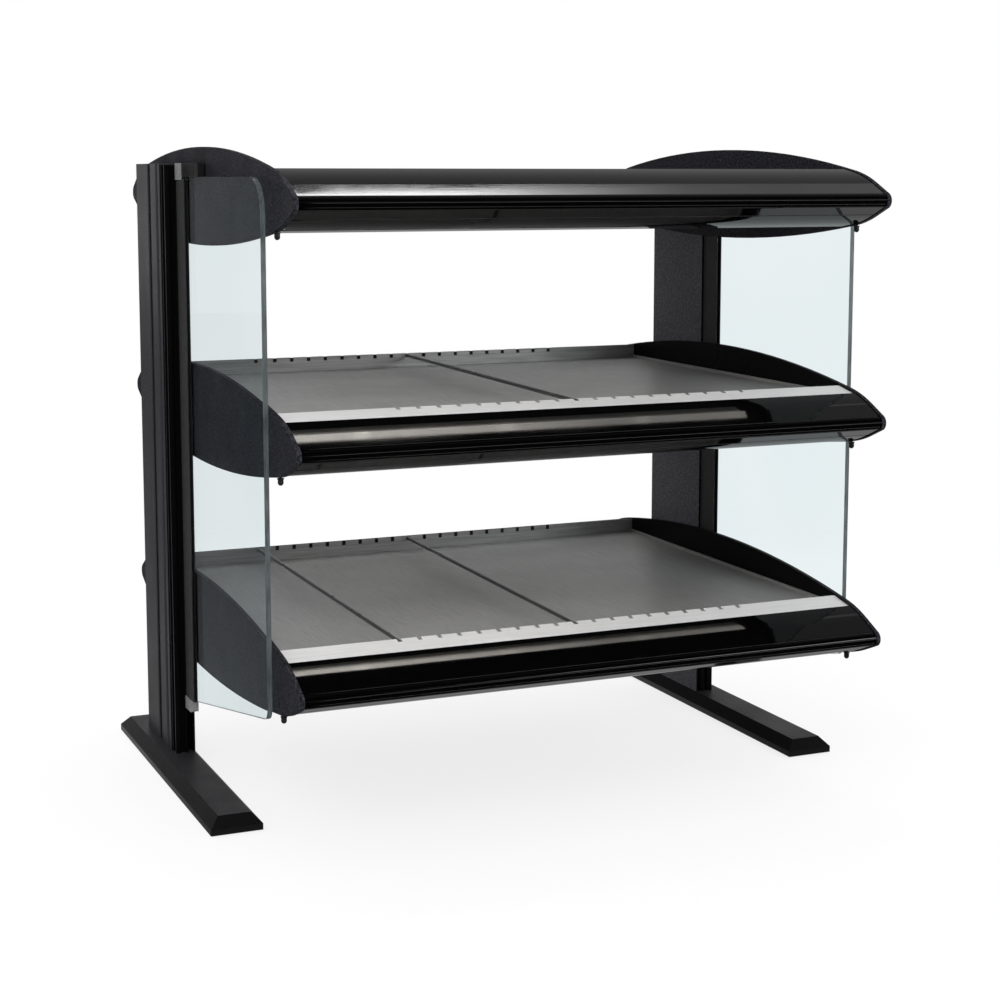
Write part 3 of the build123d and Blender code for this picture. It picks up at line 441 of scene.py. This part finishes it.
def pilot_red():
    """Red pilot lens with a moulded grain, unlit."""
    material, tree, shader = node_material("pilot_red")
    rings = noise(tree, coordinates(tree), scale=800.0)
    tint = ramp(tree, rings, (0.32, 0.008, 0.004), (0.48, 0.015, 0.008))
    tree.links.new(tint, shader.inputs["Base Color"])
    set_inputs(shader, Roughness=0.15, Transmission_Weight=0.3, Coat_Weight=0.5)
    bump(tree, shader, rings, strength=0.2, distance=0.0003)
    return material


def heat_tinted(name):
    """Steel sheath that the heat has browned unevenly."""
    return mottled(
        name,
        low=(0.07, 0.060, 0.055),
        high=(0.20, 0.155, 0.12),
        scale=90.0,
        roughness=(0.35, 0.5),
        grain=(500.0, 0.15, 0.0002),
        Metallic=0.85,
    )


def black_finishes():
    return {
        "textured_black": textured_black(),
        "post_black": smooth_black(
            "post_black", 0.034, roughness=(0.26, 0.36), gloss=0.08, stretch=(1, 1, 0.02)
        ),
        "gloss_black": smooth_black(
            "gloss_black", 0.0008, roughness=(0.03, 0.06), gloss=0.30, stretch=(0.02, 1, 1)
        ),
        "sheet_black": painted_sheet(
            "sheet_black", (0.012, 0.012, 0.014), (0.026, 0.026, 0.029), (0.40, 0.54), strength=0.2
        ),
        "cover_steel": painted_sheet(
            "cover_steel", (0.020, 0.020, 0.022), (0.034, 0.034, 0.037), (0.38, 0.50), strength=0.15
        ),
    }


def metal_finishes():
    return {
        "pan_metal": brushed_metal(
            "pan_metal",
            low=(0.280, 0.280, 0.277),
            high=(0.360, 0.360, 0.355),
            roughness=(0.38, 0.43),
            metallic=0.4,
            stretch=(1.0, 0.04, 1.0),
        ),
        "rod_steel": brushed_metal(
            "rod_steel", 0.18, 0.27, roughness=(0.25, 0.35), metallic=0.9, stretch=(1.0, 0.05, 1.0)
        ),
        "screw_steel": brushed_metal(
            "screw_steel",
            low=(0.022, 0.022, 0.024),
            high=(0.045, 0.045, 0.048),
            roughness=(0.24, 0.36),
            metallic=0.6,
            stretch=(1.0, 1.0, 1.0),
        ),
        "clamp_metal": brushed_metal(
            "clamp_metal",
            low=(0.42, 0.42, 0.43),
            high=(0.56, 0.56, 0.57),
            roughness=(0.30, 0.40),
            metallic=0.6,
            stretch=(1.0, 0.1, 1.0),
        ),
        "reflector_metal": brushed_metal(
            "reflector_metal",
            low=(0.70, 0.70, 0.71),
            high=(0.84, 0.84, 0.85),
            roughness=(0.14, 0.24),
            metallic=1.0,
            stretch=(0.04, 1.0, 1.0),
        ),
        "shaft_steel": bright_steel("shaft_steel", stretch=(1.0, 0.1, 1.0)),
        "element_sheath": heat_tinted("element_sheath"),
    }


def clear_finishes():
    return {
        "glass": clear_glass(),
        "lens": frosted("lens", (0.92, 0.92, 0.89), roughness=0.45, rib_pitch=LENS_RIB_PITCH),
        "lamp_glass": frosted("lamp_glass", (0.95, 0.93, 0.88), roughness=0.3),
        "pilot_red": pilot_red(),
    }


def soft_finishes():
    """Rubber, plastic, ceramic and board."""
    fine = (900.0, 0.15, 0.0001)
    return {
        "rubber": mottled("rubber", 0.012, 0.022, 500.0, (0.7, 0.85), grain=(900.0, 0.2, 0.0002)),
        "mat_rubber": mottled(
            "mat_rubber", (0.30, 0.06, 0.04), (0.38, 0.09, 0.06), 300.0, (0.6, 0.7), grain=fine
        ),
        "insulation": mottled(
            "insulation",
            low=(0.62, 0.58, 0.48),
            high=(0.78, 0.74, 0.64),
            scale=260.0,
            roughness=(0.85, 0.95),
            grain=(500.0, 0.6, 0.0008),
        ),
        "ceramic": mottled(
            "ceramic", (0.80, 0.79, 0.75), (0.86, 0.85, 0.82), 200.0, (0.2, 0.3), grain=fine
        ),
        "clip_plastic": mottled(
            "clip_plastic", 0.006, 0.011, 500.0, (0.35, 0.45), grain=fine, Specular_IOR_Level=0.3
        ),
        "control_plastic": mottled("control_plastic", 0.012, 0.02, 600.0, (0.35, 0.45), grain=fine),
    }


def finishes():
    """One material for each of the record's slots."""
    return {**black_finishes(), **metal_finishes(), **clear_finishes(), **soft_finishes()}


def dress(materials):
    """Gives each CAD node the finish of its slot in the record."""
    for entry in frame["record"]["subparts"]:
        node = frame["nodes"][entry["node"]]
        node.data.materials.clear()
        node.data.materials.append(materials[entry["material_slot"]])
        for polygon in node.data.polygons:
            polygon.material_index = 0


def finish_where(node_name, material, chosen):
    """A second finish for the polygons of a node that the test picks."""
    mesh = frame["nodes"][node_name].data
    mesh.materials.append(material)
    index = len(mesh.materials) - 1
    for polygon in mesh.polygons:
        if chosen(polygon.center, polygon.normal):
            polygon.material_index = index


def dress_caps():
    """Smooth black on the inner faces of the shelves' end caps, painted darker than the canopy's as
    painted shade under the tiers.
    """
    # Painted shade: a near-black base on the shelf caps' inner faces, where the tiers above shade them.
    inner = smooth_black("cap_inner_painted_shade", 0.004, roughness=(0.25, 0.34), gloss=0.06)
    for tier in ("upper", "lower"):
        for side, sign in (("left", -1), ("right", 1)):
            name = f"{tier}_{side}_end_cap"
            finish_where(name, inner, lambda centre, normal: normal.x * sign < -FACING)


def dress_pans():
    """Bright front lip and a paler rear rail."""
    along = (0.03, 1.0, 1.0)
    lip = brushed_metal(
        "pan_lip",
        low=(0.67, 0.67, 0.675),
        high=(0.75, 0.75, 0.755),
        roughness=(0.40, 0.50),
        metallic=0.10,
        stretch=along,
    )
    rail = brushed_metal("pan_rail", 0.20, 0.29, roughness=(0.34, 0.44), metallic=0.6, stretch=along)
    for tier in ("upper", "lower"):
        finish_where(f"{tier}_pan", lip, lambda centre, normal: centre.y < PAN_FRONT_Y)
        finish_where(f"{tier}_pan", rail, lambda centre, normal: centre.y > PAN_REAR_Y)


def dress_feet():
    """Speckled top, with smooth gloss black on the bevels and the sides."""
    top = textured_black("foot_top", low=(0.012, 0.012, 0.014), high=(0.050, 0.050, 0.056), gloss=0.5)
    bevel = smooth_black("foot_bevel", 0.006, roughness=(0.16, 0.24), gloss=0.35)
    for side in ("left", "right"):
        finish_where(f"{side}_foot", top, lambda centre, normal: normal.z > SQUARE_ON)
        finish_where(f"{side}_foot", bevel, lambda centre, normal: normal.z <= SQUARE_ON)


def dress_glass():
    """Green edges on panes that let the light through to what is behind them."""
    edge = glass_edge()
    for side in ("left", "right"):
        frame["nodes"][f"{side}_glass"].visible_shadow = False
        finish_where(f"{side}_glass", edge, lambda centre, normal: abs(normal.x) < FACING)


def dress_gaskets():
    """The gaskets' outer faces are paler."""
    paler_outer_face = mottled(
        "gasket_face",
        low=0.030,
        high=0.046,
        scale=300.0,
        roughness=(0.6, 0.75),
        grain=(700.0, 0.2, 0.0002),
        Specular_IOR_Level=0.2,
    )
    finish_where("glass_gaskets", paler_outer_face, lambda centre, normal: abs(normal.x) > SQUARE_ON)


def dress_posts():
    """Textured charcoal on the inner faces, painted paler than the caps as painted light where little lamp
    light reaches, and painted shade that makes the grooves and front edges nearly black between the ribs.
    """
    # Painted light: the inner faces' textured charcoal is painted paler than the caps to stand in for
    # light that barely reaches them.
    inner = textured_black("post_inner_painted_light", low=(0.056, 0.056, 0.064), high=(0.130, 0.130, 0.148), gloss=0.10)
    # Painted shade: a near-black base in the grooves and on the front edges between the ribs.
    groove = smooth_black("post_groove_painted_shade", 0.003, roughness=(0.30, 0.40), gloss=0.04)
    for side, sign in (("left", -1), ("right", 1)):
        name = f"{side}_post"
        low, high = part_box(name)
        inner_face = min(abs(low.x), abs(high.x)) + FACE_TOLERANCE
        rib_face = max(abs(low.x), abs(high.x)) - RIB_HEIGHT

        def on_inner_face(centre, normal):
            return normal.x * sign < -FACING and abs(centre.x) < inner_face

        def in_groove(centre, normal):
            side_wall = abs(normal.y) > SQUARE_ON and centre.y < high.y - FACE_TOLERANCE
            floor_of_groove = normal.x * sign > FACING and abs(centre.x) < rib_face
            return side_wall or floor_of_groove

        finish_where(name, inner, on_inner_face)
        finish_where(name, groove, in_groove)


def dress_inlet():
    """Brass blades in the inlet's mouth and steel heads on its two screws."""
    brass = brushed_metal(
        "blade_brass",
        low=(0.50, 0.36, 0.14),
        high=(0.62, 0.46, 0.20),
        roughness=(0.25, 0.35),
        metallic=1.0,
        stretch=(1, 0.1, 1),
    )
    steel = bright_steel("inlet_screw_steel", stretch=(1, 1, 1))
    low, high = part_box("power_inlet")
    middle = (low + high) / 2
    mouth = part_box("lower_rear_panel")[1].y + MOUTH_CLEARANCE

    def on_blade(centre, normal):
        across = abs(centre.x - middle.x)
        up = centre.z - middle.z
        outer = abs(across - BLADE_SPACING) + abs(up + BLADE_OFFSET)
        centred = across + abs(up - BLADE_OFFSET)
        return min(outer, centred) < BLADE_REACH and mouth - MOUTH_DEPTH < centre.y < mouth

    finish_where("power_inlet", brass, on_blade)
    finish_where("power_inlet", steel, lambda centre, normal: centre.y > high.y - INLET_SCREW_HEAD)


def mesh_object(name, build, material):
    """A linked object that holds a finished bmesh."""
    mesh = bpy.data.meshes.new(name)
    build.to_mesh(mesh)
    build.free()
    mesh.materials.append(material)
    piece = bpy.data.objects.new(name, mesh)
    bpy.context.scene.collection.objects.link(piece)
    return piece


def new_piece(name, build, material, body):
    """A fine piece of the object, riding on a body."""
    bmesh.ops.recalc_face_normals(build, faces=build.faces)
    piece = mesh_object(name, build, material)
    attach(piece, body)


def add_box(build, size, matrix):
    """A box of the given size, turned and placed by the matrix."""
    bmesh.ops.create_cube(build, size=1.0, matrix=matrix @ Matrix.Diagonal((*size, 1.0)))


def add_lathe(build, outline, place):
    """A solid turned about the Y axis through a place; the outline is radius, reach."""
    rings = []
    for radius, reach in outline:
        ring = []
        for i in range(LATHE_STEPS):
            angle = 2 * math.pi * i / LATHE_STEPS
            x = place[0] + radius * math.cos(angle)
            z = place[2] + radius * math.sin(angle)
            ring.append(build.verts.new((x, place[1] + reach, z)))
        rings.append(ring)
    for first, second in zip(rings, rings[1:]):
        for i in range(LATHE_STEPS):
            j = (i + 1) % LATHE_STEPS
            build.faces.new((first[i], first[j], second[j], second[i]))
    build.faces.new(rings[0])
    build.faces.new(rings[-1])


def rear_screws(material):
    """Recessed pan heads along the edges of the three rear panels."""
    build = bmesh.new()
    for tier in ("canopy", "upper", "lower"):
        low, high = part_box(f"{tier}_rear_panel")
        for x in SCREW_COLUMNS:
            for z in (low.z + SCREW_INSET, high.z - SCREW_INSET):
                add_lathe(build, SCREW_OUTLINE, (x, PANEL_FACE_Y, z))
    new_piece("rear_panel_screws", build, material, "frame")


def add_louvre(build, x, z):
    """A pressed louvre: a closed hood that opens downwards."""
    columns = []
    for i in range(LOUVRE_STEPS + 1):
        share = -1 + 2 * i / LOUVRE_STEPS
        swell = math.sqrt(max(0.0, 1 - share ** 4))
        across = x + share * LOUVRE_HALF_WIDTH
        lip = z - LOUVRE_HEIGHT / 2
        top = z + LOUVRE_HEIGHT / 2 * swell
        bulge = z + LOUVRE_HEIGHT * LOUVRE_BULGE_RISE * swell
        root = PANEL_FACE_Y - LOUVRE_ROOT
        out = LOUVRE_REACH * swell
        columns.append([
            build.verts.new((across, root, top)),
            build.verts.new((across, PANEL_FACE_Y + out * LOUVRE_BULGE, bulge)),
            build.verts.new((across, PANEL_FACE_Y + out, lip)),
            build.verts.new((across, PANEL_FACE_Y + out - LOUVRE_SHEET, lip)),
            build.verts.new((across, root, lip)),
        ])
    for first, second in zip(columns, columns[1:]):
        for i in range(len(first)):
            j = (i + 1) % len(first)
            build.faces.new((first[i], second[i], second[j], first[j]))
    build.faces.new(columns[0])
    build.faces.new(columns[-1])


def canopy_louvres(material):
    """Two groups of louvres that let the canopy's heat out."""
    build = bmesh.new()
    low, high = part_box("canopy_rear_panel")
    middle = (low.z + high.z) / 2
    pitch_x, pitch_z = LOUVRE_PITCH
    for group in LOUVRE_GROUPS:
        for column in LOUVRE_COLUMNS:
            for row in LOUVRE_ROWS:
                add_louvre(build, group + column * pitch_x, middle + row * pitch_z)
    new_piece("canopy_louvres", build, material, "frame")


def dial_marks(tier, material):
    """Ticks round a thermostat knob, from its low stop to its high stop."""
    build = bmesh.new()
    low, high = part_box(f"{tier}_thermostat_knob")
    middle = (low + high) / 2
    for k in range(DIAL_TICKS):
        angle = math.radians(DIAL_START - k * DIAL_SWEEP / (DIAL_TICKS - 1))
        length = TICK_SHORT if k % LONG_TICK_EVERY else TICK_LONG
        radius = DIAL_RADIUS + length / 2
        place = (middle.x + radius * math.cos(angle), PANEL_FACE_Y, middle.z + radius * math.sin(angle))
        matrix = Matrix.Translation(place) @ Matrix.Rotation(-angle, 4, "Y")
        add_box(build, (length, TICK_DEPTH, TICK_WIDTH), matrix)
    new_piece(f"{tier}_dial_marks", build, material, "frame")


def knob_pointer(tier, material):
    """White line on the end of the knob's grip bar, towards its setting."""
    build = bmesh.new()
    low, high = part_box(f"{tier}_thermostat_knob")
    middle = (low + high) / 2
    place = (middle.x, high.y, middle.z + POINTER_RISE)
    add_box(build, POINTER_SIZE, Matrix.Translation(place))
    new_piece(f"{tier}_knob_pointer", build, material, f"{tier}_knob")


def rocker_face(name, side):
    """Place and turn of a rocker's sloping face: the upper one for side 1, the lower for -1."""
    low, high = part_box(f"{name}_rocker")
    pivot = ((low.x + high.x) / 2, PANEL_FACE_Y - ROCKER_PIVOT_DEPTH, (low.z + high.z) / 2)
    tilt = Matrix.Translation(pivot) @ Matrix.Rotation(math.radians(ROCKER_REST_TILT), 4, "X")
    offset = Matrix.Translation((0, ROCKER_MARK_REACH, side * ROCKER_MARK_RISE))
    return tilt @ offset @ Matrix.Rotation(-side * ROCKER_SLOPE, 4, "X")


def rocker_marks(name, body, material):
    """The stroke on a rocker's upper face and the ring on its lower one."""
    build = bmesh.new()
    add_box(build, STROKE_SIZE, rocker_face(name, 1))
    for i in range(RING_STEPS):
        turn = Matrix.Rotation(2 * math.pi * i / RING_STEPS, 4, "Y")
        out = Matrix.Translation((RING_RADIUS, 0, 0))
        add_box(build, RING_BIT, rocker_face(name, -1) @ turn @ out)
    new_piece(f"{name}_marks", build, material, body)


def fine_pieces(materials):
    """Everything that the solids leave to this script."""
    rear_screws(materials["shaft_steel"])
    canopy_louvres(materials["sheet_black"])
    mark = mottled("mark_white", (0.72, 0.72, 0.70), (0.80, 0.80, 0.78), 900.0, (0.5, 0.6))
    for tier in ("upper", "lower"):
        dial_marks(tier, mark)
        knob_pointer(tier, mark)
    rocker_marks("heat_switch", "heat_rocker", mark)
    rocker_marks("light_switch", "light_rocker", mark)


def floor():
    """White floor that keeps the shadow near the object and fades to white."""
    build = bmesh.new()
    bmesh.ops.create_circle(build, cap_ends=True, segments=FLOOR_SEGMENTS, radius=FLOOR_RADIUS)
    piece = mesh_object("floor", build, floor_material())


def floor_material():
    """Pale near the object, where it takes the shadow, white further out, dim in gloss in front."""
    material = bpy.data.materials.new("floor")
    tree, surface = fresh_tree(material, "ShaderNodeOutputMaterial")
    rays = tree.nodes.new("ShaderNodeLightPath")
    vector = coordinates(tree)
    length = tree.nodes.new("ShaderNodeVectorMath")
    length.operation = "LENGTH"
    tree.links.new(vector, length.inputs[0])
    fade = map_range(tree, length.outputs["Value"], FADE, (0.0, 1.0), smooth=True)
    lift = math_node(tree, "MULTIPLY", seen(tree, rays), FLOOR_LIFT)
    whiteness = math_node(tree, "MAXIMUM", fade, lift)
    diffuse = tree.nodes.new("ShaderNodeBsdfDiffuse")
    diffuse.inputs["Color"].default_value = as_color(FLOOR_COLOR)
    pale = mix_shaders(tree, whiteness, diffuse.outputs["BSDF"], emission(tree, 1.0))
    place = split(tree, vector)
    behind = map_range(tree, place["Y"], FLOOR_GLOSS_DEPTH, FLOOR_IN_GLOSS)
    aside = map_range(tree, place["X"], FLOOR_GLOSS_SIDE, (LEFT_LEVEL, 1.0))
    in_gloss = emission(tree, math_node(tree, "MULTIPLY", behind, aside))
    tree.links.new(mix_shaders(tree, mirrored(tree, rays), pale, in_gloss), surface)
    return material


def studio_dome(tree):
    """What gloss shows of the room: white low down and behind, dimmer above, in front and on the left."""
    source = tree.nodes.new("ShaderNodeTexCoord")
    place = split(tree, source.outputs["Generated"])
    overhead = map_range(tree, place["Z"], DOME_RISE, (1.0, CEILING_LEVEL), smooth=True)
    ahead = map_range(tree, place["Y"], DOME_DEPTH, (FRONT_LEVEL, 1.0))
    aside = map_range(tree, place["X"], DOME_SIDE, (LEFT_LEVEL, 1.0))
    return math_node(tree, "MULTIPLY", math_node(tree, "MULTIPLY", overhead, ahead), aside)


def world():
    """White for the camera and through glass, a soft dome for gloss, an even light for the rest."""
    studio = bpy.data.worlds.new("studio")
    bpy.context.scene.world = studio
    tree, surface = fresh_tree(studio, "ShaderNodeOutputWorld")
    rays = tree.nodes.new("ShaderNodeLightPath")
    lit = mix_shaders(tree, seen(tree, rays), background(tree, 1.0, AMBIENT), background(tree, 1.0))
    whole = mix_shaders(tree, mirrored(tree, rays), lit, background(tree, studio_dome(tree)))
    tree.links.new(whole, surface)


def area_light(name, place, target, size, power, gloss_only=False, shows_in_gloss=True):
    data = bpy.data.lights.new(name, "AREA")
    data.shape = "RECTANGLE"
    data.size, data.size_y = size
    data.energy = power
    light = bpy.data.objects.new(name, data)
    light.location = place
    aim = Vector(target) - Vector(place)
    light.rotation_euler = aim.to_track_quat("-Z", "Y").to_euler()
    light.visible_camera = False
    light.visible_diffuse = not gloss_only
    light.visible_glossy = shows_in_gloss
    bpy.context.scene.collection.objects.link(light)


def studio_lights():
    """Soft key, fill and rear lights, and two strips that the glossy fronts show."""
    middle = (0.0, 0.0, 0.45)
    fronts = (0.2, -0.38, 0.5)
    area_light("key_light", (-1.9, -2.4, 2.4), middle, size=(1.6, 1.2), power=40.0)
    area_light("fill_light", (2.4, -2.2, 1.4), middle, size=(1.4, 1.0), power=16.0, shows_in_gloss=False)
    area_light("rear_light", (0.5, 2.8, 2.6), middle, size=(2.2, 1.2), power=26.0, shows_in_gloss=False)
    area_light("front_strip", (1.6, -2.9, 1.1), fronts, size=(2.2, 0.5), power=24.0, gloss_only=True)
    ceiling_strip()


def ceiling_strip():
    """Long glowing sheet overhead that only gloss shows, aimed at the canopy's nose."""
    middle = Vector(STRIP_MIDDLE)
    run = Vector(STRIP_RUN)
    aim = Vector(STRIP_AIM) - middle
    across = run.cross(aim).normalized() * STRIP_WIDTH / 2
    near, far = STRIP_REACH
    build = bmesh.new()
    corners = []
    for reach, side in ((near, -1), (far, -1), (far, 1), (near, 1)):
        corners.append(build.verts.new(middle + run * reach + across * side))
    build.faces.new(corners)
    strip = mesh_object("ceiling_strip", build, strip_material())
    strip.visible_camera = False
    strip.visible_diffuse = False
    strip.visible_transmission = False
    strip.visible_shadow = False


def strip_material():
    """Emission that falls off to the right of the strip's middle like a bell curve."""
    material = bpy.data.materials.new("ceiling_strip")
    tree, surface = fresh_tree(material, "ShaderNodeOutputMaterial")
    place = split(tree, coordinates(tree))
    past_middle = math_node(tree, "SUBTRACT", place["X"], STRIP_MIDDLE[0])
    along = math_node(tree, "MAXIMUM", past_middle, 0.0)
    squared = math_node(tree, "MULTIPLY", along, along)
    fall = math_node(tree, "POWER", math.exp(-1 / STRIP_SPREAD ** 2), squared)
    near = math_node(tree, "MULTIPLY", fall, STRIP_GLOW)
    level = math_node(tree, "ADD", near, STRIP_FAR_GLOW)
    tree.links.new(emission(tree, level), surface)
    return material


def photo_camera():
    data = bpy.data.cameras.new("camera")
    data.sensor_width = SENSOR_WIDTH
    data.lens = FOCAL_PIXELS / IMAGE_SIZE * SENSOR_WIDTH
    data.shift_x, data.shift_y = CAMERA_SHIFT
    camera = bpy.data.objects.new("camera", data)
    camera.location = CAMERA_PLACE
    camera.rotation_euler = (math.pi / 2 - CAMERA_PITCH, CAMERA_ROLL, -CAMERA_YAW)
    bpy.context.scene.collection.objects.link(camera)
    bpy.context.scene.camera = camera


slot_finishes = finishes()
dress(slot_finishes)
dress_caps()
dress_pans()
dress_feet()
dress_glass()
dress_gaskets()
dress_posts()
dress_inlet()
fine_pieces(slot_finishes)
floor()
world()
studio_lights()
photo_camera()
bpy.context.scene.view_settings.view_transform = "Standard"
